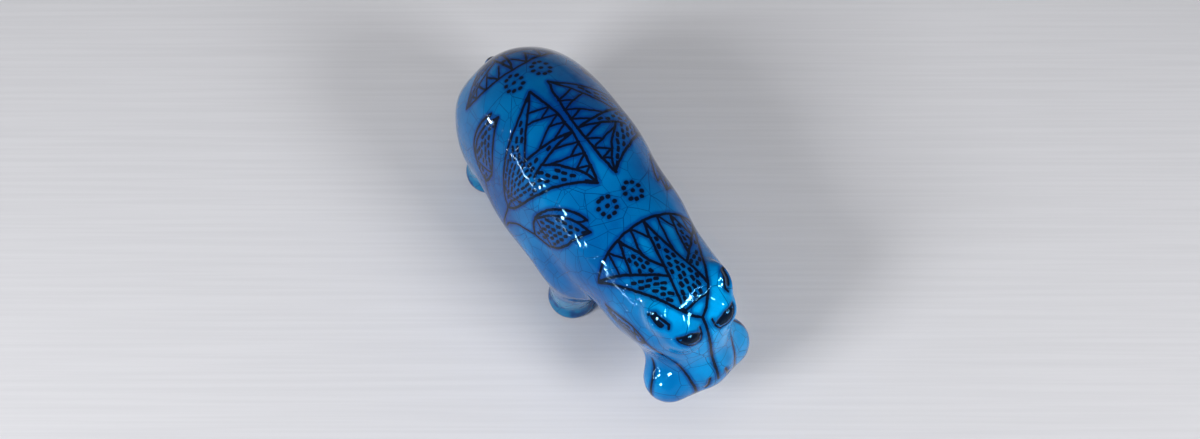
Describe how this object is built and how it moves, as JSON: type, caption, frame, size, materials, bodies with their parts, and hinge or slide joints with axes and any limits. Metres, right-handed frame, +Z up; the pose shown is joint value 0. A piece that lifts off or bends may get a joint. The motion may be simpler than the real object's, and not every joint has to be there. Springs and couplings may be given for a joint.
{
  "type": "egyptian faience hippopotamus figurine",
  "caption": "Standing hippopotamus in blue-glazed faience, painted with dark lotus flowers, buds and dotted rosettes; stands on its flat-cut feet.",
  "frame": {"origin": "on the ground, under the middle of the figure's length and width", "axes": "+Z up; the head points to -Y and the rump to +Y; the animal's left side is at +X"},
  "size_m": [0.0808, 0.2014, 0.1119],
  "materials": {
    "glazed_faience": "clear glossy glaze over deep turquoise-blue faience, finely crazed, with near-black painted lines"
  },
  "bodies": {
    "root": {"hippopotamus": "glazed_faience"}
  },
  "joints": []
}
